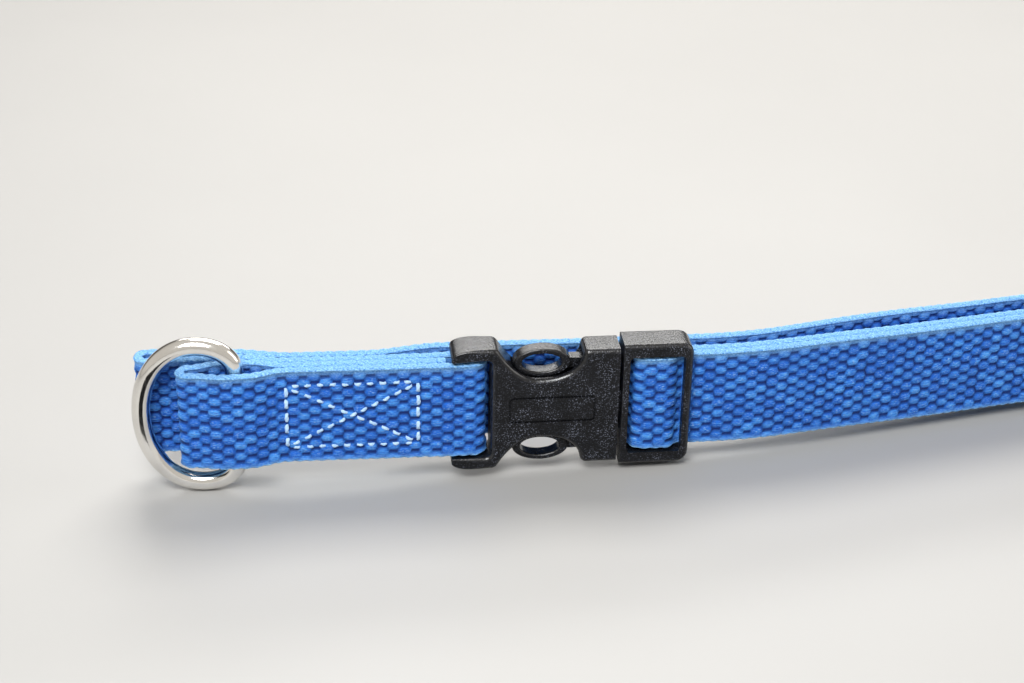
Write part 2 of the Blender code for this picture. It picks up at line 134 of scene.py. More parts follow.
FRONT_L += run(FRONT_L[-1], (-77.2, M - 4.8), 180) + [(-81.5, M - 4.8)]
FRONT_L += run(FRONT_L[-1], (-89.9, M - 3.4), 180) + arc(-89.9, M - 1.4, 2.0, 270, 90, 24)[1:]
FRONT_L += run(FRONT_L[-1], (-82.8, M + 2.2), 0) + [(-76.6, M + 2.2)]
FRONT_L += run(FRONT_L[-1], (-67.6, M), 0) + [(-30.0, M)]
REAR_RIGHT = [(0.0, REAR_Y), (24.0, REAR_Y)] + [front_path(s, rear_off(s))[0] for s in np.linspace(0, STRAIGHT_END, 90)]
(_ex, _ey), _h = front_path(STRAIGHT_END, REAR_OFF[1] / 2)
FRONT_R = arc(_ex, _ey, REAR_OFF[1] / 2, 90 + _h, -90 + _h, 30)
FRONT_R += [front_path(s)[0] for s in np.linspace(112, 4, 60)] + [(26.4, OUTER_Y)]
FRONT_R += run(FRONT_R[-1], (22.8, MID_Y - WRAP_R), 180) + [(WRAP_X, MID_Y - WRAP_R)]
FRONT_R += arc(WRAP_X, MID_Y, WRAP_R, 270, 90, 30)[1:] + [(22.0, MID_Y + WRAP_R)]
FRONT_R += run(FRONT_R[-1], (27.0, INNER_Y), 0) + [(29.0, INNER_Y)]
INNER = [(29.0, INNER_Y)] + [front_path(s, PITCH)[0] for s in np.linspace(2, 90, 50)]


def slider_local(points):
    (px, py), h = front_path(SLIDER_S)
    c, s = math.cos(math.radians(h)), math.sin(math.radians(h))
    return [(px + x * c - y * s, py + x * s + y * c) for x, y in points]


_e = [(-16.0, PITCH), (0.8, PITCH)] + arc(0.8, 2 * PITCH, PITCH, -90, 90, 24)[1:] + [(-2.0, 3 * PITCH)]
_e += run(_e[-1], (-8.5, 2 * PITCH + 0.1), 180) + [(-14.5, 2 * PITCH + 0.1)]
SLIDER_END = slider_local(_e)


# ---------------------------------------------------------------- node helpers
class Nodes:
    """Small helper that writes a node tree in few lines."""

    def __init__(self, name):
        self.mat = bpy.data.materials.new(name)
        self.mat.use_nodes = True
        self.t = self.mat.node_tree
        self.p = self.t.nodes["Principled BSDF"]

    def new(self, kind, **props):
        n = self.t.nodes.new(kind)
        for k, v in props.items():
            setattr(n, k, v)
        return n

    def link(self, a, b):
        self.t.links.new(a, b)

    def put(self, sock, value):
        if isinstance(value, bpy.types.NodeSocket):
            self.link(value, sock)
        elif value is not None:
            sock.default_value = value

    def math(self, op, a, b=0.0, c=None):
        n = self.new("ShaderNodeMath", operation=op)
        self.put(n.inputs[0], a)
        self.put(n.inputs[1], b)
        if c is not None:
            self.put(n.inputs[2], c)
        return n.outputs[0]

    def mix(self, f, a, b):
        n = self.new("ShaderNodeMix", data_type="RGBA")
        self.put(n.inputs[0], f)
        self.put(n.inputs[6], a)
        self.put(n.inputs[7], b)
        return n.outputs[2]

    def remap(self, x, a, b, c, d):
        n = self.new("ShaderNodeMapRange")
        for i, v in enumerate((x, a, b, c, d)):
            self.put(n.inputs[i], v)
        return n.outputs[0]

    def noise(self, vec, scale, detail=2.0, rough=0.5):
        n = self.new("ShaderNodeTexNoise")
        self.put(n.inputs["Vector"], vec)
        n.inputs["Scale"].default_value = scale
        n.inputs["Detail"].default_value = detail
        n.inputs["Roughness"].default_value = rough
        return n.outputs["Fac"]

    def voronoi(self, vec, scale, feature="F1"):
        n = self.new("ShaderNodeTexVoronoi", feature=feature)
        self.put(n.inputs["Vector"], vec)
        n.inputs["Scale"].default_value = scale
        return n.outputs["Distance"]

    def vec_scale(self, vec, s):
        n = self.new("ShaderNodeVectorMath", operation="MULTIPLY")
        self.link(vec, n.inputs[0])
        n.inputs[1].default_value = s
        return n.outputs[0]

    def uv(self, name="web"):
        return self.new("ShaderNodeUVMap", uv_map=name).outputs[0]

    def obj(self):
        return self.new("ShaderNodeTexCoord").outputs["Object"]

    def attr(self, name):
        return self.new("ShaderNodeAttribute", attribute_name=name).outputs["Fac"]

    def bump(self, height, strength, distance, after=None):
        n = self.new("ShaderNodeBump")
        n.inputs["Strength"].default_value = strength
        n.inputs["Distance"].default_value = distance
        self.link(height, n.inputs["Height"])
        if after is not None:
            self.link(after, n.inputs["Normal"])
        return n.outputs[0]


def rgb(r, g, b):
    return (r, g, b, 1.0)


def webbing_material():
    k = Nodes("webbing_weave")
    uv = k.uv()
    h, edge, tone, yarn = k.attr("hgt"), k.attr("edge"), k.attr("tone"), k.attr("yarn")
    fibre = k.noise(k.vec_scale(uv, (0.50, 2.7, 1.0)), 1.0, 3.0, 0.65)
    fine = k.noise(k.vec_scale(uv, (1.3, 5.6, 1.0)), 1.0, 2.0, 0.6)
    fuzz = k.noise(k.vec_scale(uv, (1.9, 3.2, 1.0)), 1.0, 4.0, 0.7)
    broad = k.noise(k.vec_scale(uv, (0.05, 0.08, 1.0)), 1.0, 2.0)
    # painted shade: the gaps between the floats are coloured darker by their height
    top = k.remap(h, 0.12, 0.74, 0.0, 1.0)
    col = k.mix(top, rgb(0.0010, 0.010, 0.085), rgb(0.014, 0.155, 0.70))
    # painted shade in the grooves between the plied yarns
    col = k.mix(k.math("MULTIPLY", k.math("SUBTRACT", 1.0, yarn), 0.46), col, rgb(0.003, 0.040, 0.27))
    lit = k.math("MULTIPLY", k.remap(k.math("ADD", fibre, k.math("MULTIPLY", tone, 0.10)), 0.43, 0.64, 0.0, 1.0), k.remap(h, 0.35, 0.95, 0.0, 1.0))
    col = k.mix(k.math("MULTIPLY", lit, 0.90), col, rgb(0.095, 0.42, 1.0))
    # painted glints: small light specks on the float tops
    painted_glint = k.math("MULTIPLY", k.remap(fine, 0.54, 0.66, 0.0, 1.0), k.remap(h, 0.55, 1.0, 0.0, 1.0))
    col = k.mix(k.math("MULTIPLY", painted_glint, 0.85), col, rgb(0.42, 0.68, 1.0))
    col = k.mix(k.remap(broad, 0.35, 0.65, 0.0, 0.12), col, rgb(0.003, 0.045, 0.33))
    # painted sheen: the selvedges and the top rows of the faces are coloured pale, as backlit fuzz looks, less so in
    # the gaps
    edge_sheen = k.mix(k.remap(fuzz, 0.36, 0.60, 0.0, 1.0), rgb(0.035, 0.22, 0.66), rgb(0.36, 0.68, 0.98))
    col = k.mix(k.math("MULTIPLY", edge, k.remap(h, 0.0, 0.5, 0.45, 1.0)), col, edge_sheen)
    k.link(col, k.p.inputs["Base Color"])
    k.link(k.remap(fibre, 0.3, 0.7, 0.80, 0.55), k.p.inputs["Roughness"])
    k.p.inputs["Specular IOR Level"].default_value = 0.30
    k.p.inputs["Sheen Weight"].default_value = 0.28
    k.p.inputs["Sheen Roughness"].default_value = 0.40
    k.p.inputs["Sheen Tint"].default_value = rgb(0.30, 0.60, 1.0)
    b1 = k.bump(fibre, 0.85, 0.00042)
    b2 = k.bump(fine, 0.80, 0.00024, b1)
    b3 = k.bump(fuzz, 0.30, 0.00025, b2)
    k.link(b3, k.p.inputs["Normal"])
    return k.mat


def thread_material():
    k = Nodes("sewing_thread")
    uv = k.uv()
    n1 = k.noise(k.vec_scale(uv, (2.2, 9.0, 1.0)), 1.0, 3.0)
    n2 = k.noise(k.vec_scale(uv, (0.3, 0.4, 1.0)), 1.0, 1.0)
    col = k.mix(k.remap(n1, 0.3, 0.7, 0.0, 1.0), rgb(0.30, 0.56, 0.88), rgb(0.72, 0.88, 1.0))
    col = k.mix(k.remap(n2, 0.4, 0.7, 0.0, 0.35), col, rgb(0.26, 0.50, 0.86))
    k.link(col, k.p.inputs["Base Color"])
    k.p.inputs["Roughness"].default_value = 0.55
    k.link(k.remap(n1, 0.3, 0.7, 0.62, 0.45), k.p.inputs["Roughness"])
    k.p.inputs["Sheen Weight"].default_value = 0.2
    k.link(k.bump(n1, 0.5, 0.00008), k.p.inputs["Normal"])
    return k.mat


def plastic_material():
    k = Nodes("moulded_black_plastic")
    co = k.obj()
    grain = k.noise(co, 2100.0, 3.0, 0.65)
    pits = k.voronoi(co, 1900.0)
    broad = k.noise(co, 130.0, 3.0)
    scuff = k.noise(k.vec_scale(co, (1.0, 1.0, 0.12)), 900.0, 4.0, 0.7)
    face = k.attr("face")
    # painted glints: small light specks painted into the base colour, more on the broad faces; the same specks are also
    # made smoother
    glint_speck = k.remap(k.noise(co, 3000.0, 1.5, 0.6), 0.565, 0.665, 0.0, 1.0)
    patch = k.remap(k.noise(co, 210.0, 2.0), 0.40, 0.60, 0.18, 1.0)
    glint = k.math("MULTIPLY", k.math("MULTIPLY", glint_speck, patch), k.remap(face, 0.0, 1.0, 0.30, 1.0))
    col = k.mix(k.remap(broad, 0.35, 0.65, 0.0, 1.0), rgb(0.0026, 0.0029, 0.0040), rgb(0.0052, 0.0056, 0.0074))
    col = k.mix(k.remap(scuff, 0.62, 0.78, 0.0, 0.20), col, rgb(0.024, 0.024, 0.027))
    col = k.mix(k.math("MULTIPLY", glint, 0.85), col, rgb(0.20, 0.215, 0.27))
    k.link(col, k.p.inputs["Base Color"])
    rough = k.remap(grain, 0.3, 0.7, 0.34, 0.50)
    smooth = k.math("ADD", k.math("MULTIPLY", rough, face), k.math("MULTIPLY", k.math("SUBTRACT", 1.0, face), 0.21))
    smooth = k.math("SUBTRACT", smooth, k.math("MULTIPLY", glint, 0.16))
    k.link(smooth, k.p.inputs["Roughness"])
    k.link(k.remap(face, 0.0, 1.0, 0.66, 0.22), k.p.inputs["Specular IOR Level"])
    h = k.math("ADD", k.math("MULTIPLY", grain, 0.9), k.math("MULTIPLY", pits, 0.45))
    h = k.math("MULTIPLY", h, k.math("ADD", k.math("MULTIPLY", face, 0.90), 0.10))
    b = k.bump(h, 0.95, 0.00026)
    k.link(k.bump(scuff, 0.10, 0.00005, b), k.p.inputs["Normal"])
    return k.mat


def ring_material():
    k = Nodes("polished_nickel")
    co = k.obj()
    scratch = k.noise(k.vec_scale(co, (1.0, 0.2, 1.0)), 2600.0, 4.0, 0.7)
    broad = k.noise(co, 170.0, 3.0)
    col = k.mix(k.remap(broad, 0.35, 0.65, 0.0, 1.0), rgb(0.86, 0.84, 0.80), rgb(0.78, 0.76, 0.73))
    k.link(col, k.p.inputs["Base Color"])
    k.p.inputs["Metallic"].default_value = 1.0
    k.link(k.math("ADD", k.remap(scratch, 0.45, 0.75, 0.11, 0.19), k.remap(broad, 0.4, 0.7, 0.0, 0.06)), k.p.inputs["Roughness"])
    b = k.bump(scratch, 0.06, 0.00003)
    k.link(k.bump(broad, 0.12, 0.0003, b), k.p.inputs["Normal"])
    return k.mat


WEB, THREAD, PLASTIC, METAL = webbing_material(), thread_material(), plastic_material(), ring_material()


# ---------------------------------------------------------------- woven strap
CU, CV = 2.6, 2.98      # bump spacing along and across the strap


def resample(points, du):
    pts = [points[0]]
    for q in points[1:]:
        if math.dist(q, pts[-1]) > 1e-3:
            pts.append(q)
    p = np.array(pts, float)
    seg = np.hypot(*np.diff(p, axis=0).T)
    s = np.concatenate([[0.0], np.cumsum(seg)])
    n = max(4, int(round(s[-1] / du)))
    u = np.linspace(0, s[-1], n + 1)
    return np.stack([np.interp(u, s, p[:, 0]), np.interp(u, s, p[:, 1])], 1), u


def hash01(i, j, salt=0.0):
    v = np.sin(i * 12.9898 + j * 78.233 + salt * 37.719) * 43758.5453
    return v - np.floor(v)


def weave_height(u, v, salt):
    """0 in the gaps, up to 1 on the staggered lens-shaped floats; and a random tone for each float."""
    best, tone, yarn = np.zeros_like(u), np.zeros_like(u), np.zeros_like(u)
    base = np.floor(u / CU)
    for d in (-1, 0, 1):
        i = base + d
        centre = (i + 0.5) * CU + (hash01(i, np.zeros_like(i), salt) - 0.5) * 0.22
        ph = v / CV + 0.5 * np.mod(i, 2)
        j = np.round(ph)
        shift = (hash01(i, j, salt + 11) - 0.5) * 0.26
        a = (u - centre - shift) / (CU * (0.63 + 0.05 * (hash01(i, j, salt + 5) - 0.5)))
        wob = (hash01(i, j, salt + 3) - 0.5)
        b = (ph - j - 0.06 * wob) / (0.445 + 0.03 * (hash01(i, j, salt + 9) - 0.5))
        room = np.clip(1 - np.abs(a) ** 2.1, 1e-4, 1)
        q = np.clip(1 - np.abs(b / room ** 0.42) ** 2.2, 0, 1)
        h = np.where(np.abs(a) < 1, room ** 0.42 * q ** 0.50, 0.0)
        h *= 0.84 + 0.26 * hash01(i, j, salt + 7)
        # three plied yarns side by side in each float, leaning a little
        groove_ = 0.5 + 0.5 * np.cos(3 * math.pi * (b + 0.16 * a * (hash01(i, j, salt + 17) - 0.2)))
        h *= 1 - 0.15 * (1 - groove_)
        win = h > best
        tone = np.where(win, 2 * hash01(i, j, salt + 13) - 1, tone)
        yarn = np.where(win, groove_, yarn)
        best = np.maximum(best, h)
    return best, tone, yarn


def ragged(u, salt):
    """Slow and fast wander along the strap, -1 to 1."""
    return (np.sin(u * 2.9 + salt * 1.7) + np.sin(u * 4.7 + salt * 3.1) + 0.8 * np.sin(u * 8.3 + salt) + 0.7 * np.sin(u * 13.1 + 2 * salt)) / 3.5


def strap_mesh(name, points, body=None, fine=(True, True), u0=0.0, salt=0.0, caps=True, amp=0.74, ripple=0.10):
    """A closed woven strap along a path; fine says which of its two faces carries the full weave mesh."""
    xy, u = resample(points, 0.26)
    n = len(u)
    t = np.gradient(xy, axis=0)
    for _ in range(2):
        t = (np.vstack([t[:1], t[:-1]]) + 2 * t + np.vstack([t[1:], t[-1:]])) / 4
    t /= np.linalg.norm(t, axis=1)[:, None]
    nrm = np.stack([-t[:, 1], t[:, 0]], 1)
    U = u + u0
    half = WIDTH / 2
    dv = {True: 0.31, False: 0.75}
    sections = []      # (v list, side)
    for side, f in ((-1, fine[0]), (1, fine[1])):
        m = int(round((WIDTH - 1.3) / dv[f]))
        v = np.linspace(-half + 0.62, half - 0.62, m + 1)
        sections.append((v if side < 0 else v[::-1], side))
    # ring order: near face upwards, top edge, far face downwards, bottom edge
    cols_v, cols_off, cols_h, cols_edge, cols_uvv, cols_tone, cols_yarn = [], [], [], [], [], [], []

    def add_face(v, side):
        for vv in v:
            V = np.full(n, vv)
            h, tone, yarn = weave_height(U, V, salt + side)
            cols_tone.append(tone)
            cols_yarn.append(yarn)
            fade = np.clip((half - abs(vv)) / 1.5, 0.50, 1.0)
            base = THICK / 2 + 0.08 - amp
            off = base + amp * h * fade - 0.10 * (1 - fade)
            rise = np.clip((abs(vv) - half + 2.0) / 1.35, 0, 1)
            off = off + (1.05 - off) * 0.92 * rise
            h = h + (0.62 - h) * 0.80 * rise
            cols_v.append(V + ripple * 0.0)
            cols_off.append(side * off)
            cols_h.append(h)
            # painted sheen mask: strongest and widest along the top edge, weaker along the bottom
            cols_edge.append(np.full(n, (np.clip((vv - half + 2.6) / 2.2, 0, 1) if vv > 0 else 0.7 * np.clip((-vv - half + 1.5) / 1.3, 0, 1)) ** 1.4))
            cols_uvv.append(V + (60 if side > 0 else 0))

    def add_edge(sign, order):
        # rounded selvedge: knobs where the weft turns, roughened by the yarn
        for k in order:
            a = math.radians(k)
            turn = 0.5 + 0.5 * np.cos(2 * math.pi * (U / CU + 0.13 * math.sin(a) * 4 + salt * 0.3))
            knob = turn ** 0.7
            wander = ragged(U, salt + k * 0.11)
            out = half - 0.62 + (0.42 + 0.34 * knob + 0.07 * wander) * math.cos(a)
            cols_v.append(sign * out)
            cols_off.append(np.full(n, math.sin(a) * (THICK / 2 + 0.09)) * (0.90 + 0.10 * knob) + 0.05 * wander * math.cos(a))
            cols_h.append(0.20 + 0.80 * knob)
            cols_tone.append(wander)
            cols_yarn.append(0.5 + 0.5 * wander)
            cols_edge.append(np.full(n, 1.0))
            cols_uvv.append(np.full(n, sign * (half + 0.4)) + 1.5 * math.sin(a))

    add_face(sections[0][0], -1)
    add_edge(1, (-84, -64, -43, -21, 0, 21, 43, 64, 84))
    add_face(sections[1][0], 1)
    add_edge(-1, (84, 64, 43, 21, 0, -21, -43, -64, -84))
    m = len(cols_v)
    V, OFF = np.array(cols_v).T, np.array(cols_off).T
    H, E, UVV = np.array(cols_h).T, np.array(cols_edge).T, np.array(cols_uvv).T
    TONE, YARN = np.array(cols_tone).T, np.array(cols_yarn).T
    # the soft strap is never quite flat or straight: slow changes of place, kept well inside the gap to its neighbours
    X = xy[:, 0][:, None] + nrm[:, 0][:, None] * OFF
    Y = xy[:, 1][:, None] + nrm[:, 1][:, None] * OFF
    Z = V + ripple * np.sin(U * 0.115 + salt)[:, None] * 0.8
    co = np.stack([X, Y, Z], -1).reshape(-1, 3) * MM
    idx = np.arange(n * m).reshape(n, m)
    a, b = idx[:-1], idx[1:]
    quads = np.stack([a, np.roll(a, -1, 1), np.roll(b, -1, 1), b], -1).reshape(-1, 4)
    me = bpy.data.meshes.new(name)
    faces = quads
    me.vertices.add(len(co))
    me.vertices.foreach_set("co", co.astype(np.float32).ravel())
    nq = len(faces)
    nf = nq + (2 if caps else 0)
    loops = np.concatenate([faces.ravel(), idx[0][::-1], idx[-1]]) if caps else faces.ravel()
    starts = np.arange(nq) * 4
    if caps:
        starts = np.concatenate([starts, [nq * 4, nq * 4 + m]])
    me.loops.add(len(loops))
    me.loops.foreach_set("vertex_index", loops.astype(np.int32))
    me.polygons.add(nf)
    me.polygons.foreach_set("loop_start", starts.astype(np.int32))
    me.update(calc_edges=True)
    me.validate()
    uvl = me.uv_layers.new(name="web")
    uv = np.stack([np.repeat(U, m), UVV.reshape(-1)], 1)
    li = np.empty(len(me.loops), np.int32)
    me.loops.foreach_get("vertex_index", li)
    uvl.data.foreach_set("uv", uv[li].astype(np.float32).ravel())
    for nm, arr in (("hgt", H), ("edge", E), ("tone", TONE), ("yarn", YARN)):
        at = me.attributes.new(nm, "FLOAT", "POINT")
        at.data.foreach_set("value", arr.reshape(-1).astype(np.float32))
    me.shade_smooth()
    ob = bpy.data.objects.new(name, me)
    bpy.context.scene.collection.objects.link(ob)
    # outward faces
    bm = bmesh.new()
    bm.from_mesh(me)
    if bm.calc_volume(signed=True) < 0:
        bmesh.ops.reverse_faces(bm, faces=bm.faces)
        bm.to_mesh(me)
    bm.free()
    me.materials.append(WEB)
    if body:
        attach(ob, body)
    return ob


def split_path(points, x_cut):
    """Splits an XY path where it first crosses x_cut."""
    for i in range(len(points) - 1):
        (x0, y0), (x1, y1) = points[i], points[i + 1]
        if (x0 - x_cut) * (x1 - x_cut) <= 0 and x0 != x1:
            t = (x_cut - x0) / (x1 - x0)
            c = (x_cut, y0 + (y1 - y0) * t)
            return points[: i + 1] + [c], [c] + points[i + 1:]
    raise ValueError(x_cut)


def length(points):
    return sum(math.dist(a, b) for a, b in zip(points, points[1:]))


# rear run: fixed to each side at its ends, with a bridge that takes up the buckle's travel
bridge_l, rear_l = split_path(REAR_LEFT, -66.0)
bridge_r, rear_r = split_path(REAR_RIGHT, 23.0)
bridge = list(reversed(bridge_r)) + bridge_l[1:]
o = strap_mesh("strap_rear_left", rear_l, "female_side", (False, True), u0=177.0 + length(bridge), salt=1)
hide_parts("webbing_left")
o = strap_mesh("strap_rear_bridge", bridge, None, (False, True), u0=200.0 - 23.0, salt=1)
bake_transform(o)
o = strap_mesh("strap_left_bend", MAIN, "female_side", (True, False), u0=177.0 + length(bridge) + length(rear_l), salt=1)
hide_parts("webbing_left")
o = strap_mesh("strap_front_left", FRONT_L, "female_side", (True, False), u0=0.0, salt=2)
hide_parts("webbing_left")
o = strap_mesh("strap_rear_right", rear_r, "male_side", (True, False), u0=23.0, salt=5)
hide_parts("webbing_right")
o = strap_mesh("strap_front_right", FRONT_R, "male_side", (True, False), u0=0.0, salt=3)
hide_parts("webbing_right")
o = strap_mesh("strap_inner_run", INNER, None, (False, True), u0=0.0, salt=4)
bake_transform(o)
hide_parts("webbing_inner_run")
o = strap_mesh("strap_adjuster_end", SLIDER_END, "adjuster", (False, True), u0=90.0, salt=4)
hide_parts("webbing_slider_end")


# ---------------------------------------------------------------- sewing
def mesh_object(name, verts, faces, mat, body, uv=None):
    me = bpy.data.meshes.new(name)
    me.from_pydata([tuple(v) for v in verts], [], faces)
    me.validate()
    if uv is not None:
        layer = me.uv_layers.new(name="web")
        for lp in me.loops:
            layer.data[lp.index].uv = uv[lp.vertex_index]
    me.shade_smooth()
    me.materials.append(mat)
    ob = bpy.data.objects.new(name, me)
    bpy.context.scene.collection.objects.link(ob)
    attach(ob, body)
    return ob


def stitch_geo(p0, p1, y, r, sink, verts, faces, uvs, seed, twist=5.2):
    """One stitch: a two-ply thread that rises out of the strap, lies along it and dives back in."""
    sides, rings = 12, 18
    a, b = Vector((p0[0], 0, p0[1])), Vector((p1[0], 0, p1[1]))
    d = (b - a)
    ln = d.length
    d.normalize()
    side = Vector((-d.z, 0, d.x))
    up = Vector((0, -1, 0))
    base = len(verts)
    bow = (hash01(seed, 1.0) - 0.5) * 0.25
    for i in range(rings + 1):
        t = i / rings
        q = a + d * (ln * t)
        arch = math.sin(math.pi * t) ** 0.32 if 0 < t < 1 else 0.0
        depth = sink * (1 - arch)
        q = q + up * (-depth) + side * (bow * math.sin(math.pi * t))
        taper = 0.62 + 0.38 * arch
        for k in range(sides):
            ang = 2 * math.pi * k / sides
            ply = 1.0 + 0.13 * math.cos(2 * (ang - twist * t * ln * 0.42 - seed))
            rr = r * taper * ply
            v = q + side * (rr * math.cos(ang)) + up * (rr * 0.80 * math.sin(ang))
            verts.append((v.x * MM, (y + v.y) * MM, v.z * MM))
            uvs.append((ln * t + seed * 3.1, k / sides * 2.6))
    for i in range(rings):
        for k in range(sides):
            k2 = (k + 1) % sides
            faces.append((base + i * sides + k, base + i * sides + k2, base + (i + 1) * sides + k2, base + (i + 1) * sides + k))
    faces.append(tuple(base + k for k in range(sides))[::-1])
    faces.append(tuple(base + rings * sides + k for k in range(sides)))


def stitch_line(name, node, p0, p1, count, y, share=0.80, r=0.44, sink=0.85, lift=0.0, place=None, body="female_side"):
    verts, faces, uvs = [], [], []
    d = (Vector(p1) - Vector(p0))
    for i in range(count):
        seed = float(hash01(np.float64(i), np.float64(len(name)), 2.0)) * 6
        j = (hash01(np.float64(i), np.float64(len(name)), 5.0) - 0.5) * 0.10
        c = (i + 0.5 + j) / count
        half = share / count / 2
        q0, q1 = Vector(p0) + d * (c - half), Vector(p0) + d * (c + half)
        stitch_geo(q0, q1, y - lift, r, sink, verts, faces, uvs, seed)
    if place:
        verts = [place(v) for v in verts]
    ob = mesh_object(name, verts, faces, THREAD, body, uvs)
    bm = bmesh.new()
    bm.from_mesh(ob.data)
    bmesh.ops.recalc_face_normals(bm, faces=bm.faces)
    bm.to_mesh(ob.data)
    bm.free()
    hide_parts(node)
    return ob


SEW_Y = MID_Y - PITCH - THICK / 2
x0, x1, zb = -67.6, -36.7, 8.25
cx = (x0 + x1) / 2
stitch_line("thread_box_left", "stitch_box_left", (x0, -zb), (x0, zb), 5, SEW_Y, 0.74, r=0.46, lift=0.06)
stitch_line("thread_box_right", "stitch_box_right", (x1, -zb), (x1, zb), 5, SEW_Y, 0.74, r=0.46, lift=0.06)
stitch_line("thread_box_top", "stitch_box_top", (x0 + 0.8, zb), (x1 - 0.8, zb), 10, SEW_Y, 0.62, r=0.38, sink=0.9, lift=-0.10)
stitch_line("thread_box_bottom", "stitch_box_bottom", (x0 + 0.8, -zb), (x1 - 0.8, -zb), 10, SEW_Y, 0.62, r=0.38, sink=0.9, lift=-0.10)
stitch_line("thread_cross_long", "stitch_cross_long", (x0 + 0.8, -zb + 0.6), (x1 - 0.8, zb - 0.6), 11, SEW_Y, 0.66, r=0.38, sink=0.85, lift=0.02)
stitch_line("thread_cross_upper", "stitch_cross_upper_left", (x0 + 0.8, zb - 0.6), (cx - 0.6, 0.35), 5, SEW_Y, 0.66, r=0.38, sink=0.85, lift=0.02)
stitch_line("thread_cross_lower", "stitch_cross_lower_right", (cx + 0.6, -0.35), (x1 - 0.8, -zb + 0.6), 5, SEW_Y, 0.66, r=0.38, sink=0.85, lift=0.02)


def tack_place(v):
    x, y, z = v[0] / MM, v[1] / MM, v[2] / MM
    (qx, qy), = slider_local([(x, 2 * PITCH + 0.1 + THICK / 2 - y)])
    return (qx * MM, qy * MM, z * MM)


stitch_line("thread_adjuster_tack", "stitch_slider_tack", (-11.0, -9.0), (-11.0, 9.0), 6, 0.0, 0.82, lift=0.02, place=tack_place, body="adjuster")


# ---------------------------------------------------------------- hard parts
def fillet(poly, radii, n=5):
    """Rounds the corners of a closed (x, z) outline; radii gives one radius for each corner."""
    out = []
    m = len(poly)
    for i, p in enumerate(poly):
        r = radii[i] if isinstance(radii, (list, tuple)) else radii
        p = Vector(p)
        a, b = Vector(poly[i - 1]) - p, Vector(poly[(i + 1) % m]) - p
        la, lb = a.length, b.length
        a.normalize()
        b.normalize()
        cosang = max(-0.9999, min(0.9999, a.dot(b)))
        ang = math.acos(cosang)
        if r <= 0 or ang > math.radians(176):
            out.append(tuple(p))
            continue
        cut = min(r / math.tan(ang / 2), 0.49 * la, 0.49 * lb)
        r = cut * math.tan(ang / 2)
        c = p + (a + b).normalized() * (r / math.sin(ang / 2))
        s, e = p + a * cut - c, p + b * cut - c
        a0, a1 = math.atan2(s.y, s.x), math.atan2(e.y, e.x)
        da = (a1 - a0 + math.pi) % (2 * math.pi) - math.pi
        for k in range(n + 1):
            t = a0 + da * k / n
            out.append((c.x + r * math.cos(t), c.y + r * math.sin(t)))
    return out


def prism(outline, y0, y1):
    bm = bmesh.new()
    face = bm.faces.new([bm.verts.new((x, y0, z)) for x, z in outline])
    new = bmesh.ops.extrude_face_region(bm, geom=[face])["geom"]
    for v in new:
        if isinstance(v, bmesh.types.BMVert):
            v.co.y = y1
    bmesh.ops.recalc_face_normals(bm, faces=bm.faces)
    return bm


def to_object(name, bm, mat=None):
    for v in bm.verts:
        v.co = v.co * MM
    me = bpy.data.meshes.new(name)
    bm.to_mesh(me)
    bm.free()
    ob = bpy.data.objects.new(name, me)
    bpy.context.scene.collection.objects.link(ob)
    if mat:
        me.materials.append(mat)
    return ob


def add_bevel(ob, width, segments, angle=30.0):
    m = ob.modifiers.new("bevel", "BEVEL")
    m.width = width * MM
    m.segments = segments
    m.limit_method = "ANGLE"
    m.angle_limit = math.radians(angle)
    m.use_clamp_overlap = True
    m.harden_normals = False


def apply_all(ob):
    dg = bpy.context.evaluated_depsgraph_get()
    me = bpy.data.meshes.new_from_object(ob.evaluated_get(dg), depsgraph=dg)
    ob.modifiers.clear()
    old = ob.data
    ob.data = me
    bpy.data.meshes.remove(old)


def cut(ob, bm, operation="DIFFERENCE"):
    other = to_object("tool", bm)
    m = ob.modifiers.new("b", "BOOLEAN")
    m.operation = operation
    m.object = other
    m.solver = "EXACT"
    apply_all(ob)
    me = other.data
    bpy.data.objects.remove(other)
    bpy.data.meshes.remove(me)


def box_bm(x0, x1, y0, y1, z0, z1):
    return prism([(x0, z0), (x1, z0), (x1, z1), (x0, z1)], y0, y1)


def rod_bm(x0, x1, y0, y1, z0, z1, r, n=6):
    """A bar with a rounded XY outline that runs along Z."""
    pts = fillet([(x0, y0), (x1, y0), (x1, y1), (x0, y1)], r, n)
    bm = bmesh.new()
    face = bm.faces.new([bm.verts.new((x, y, z0)) for x, y in pts])
    new = bmesh.ops.extrude_face_region(bm, geom=[face])["geom"]
    for v in new:
        if isinstance(v, bmesh.types.BMVert):
            v.co.z = z1
    bmesh.ops.recalc_face_normals(bm, faces=bm.faces)
    return bm


def finish_hard(ob, node, body, soft_angle=38.0):
    me = ob.data
    me.shade_smooth()
    me.set_sharp_from_angle(angle=math.radians(soft_angle))
    m = ob.modifiers.new("wn", "WEIGHTED_NORMAL")
    m.mode = "FACE_AREA"
    m.weight = 100
    m.keep_sharp = True
    apply_all(ob)
    me = ob.data
    # "face" is 1 on the broad textured faces and falls off round the smoother edges and along the top
    at = me.attributes.new("face", "FLOAT", "FACE")
    vals = np.empty(len(me.polygons), np.float32)
    for i, p in enumerate(me.polygons):
        k = max(abs(p.normal.x), abs(p.normal.y))
        vals[i] = min(1.0, max(0.0, (k - 0.78) / 0.20, 0.22 * (abs(p.normal.z) - 0.78) / 0.20))
    at.data.foreach_set("value", vals)
    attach(ob, body)
    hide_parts(node)
    return ob


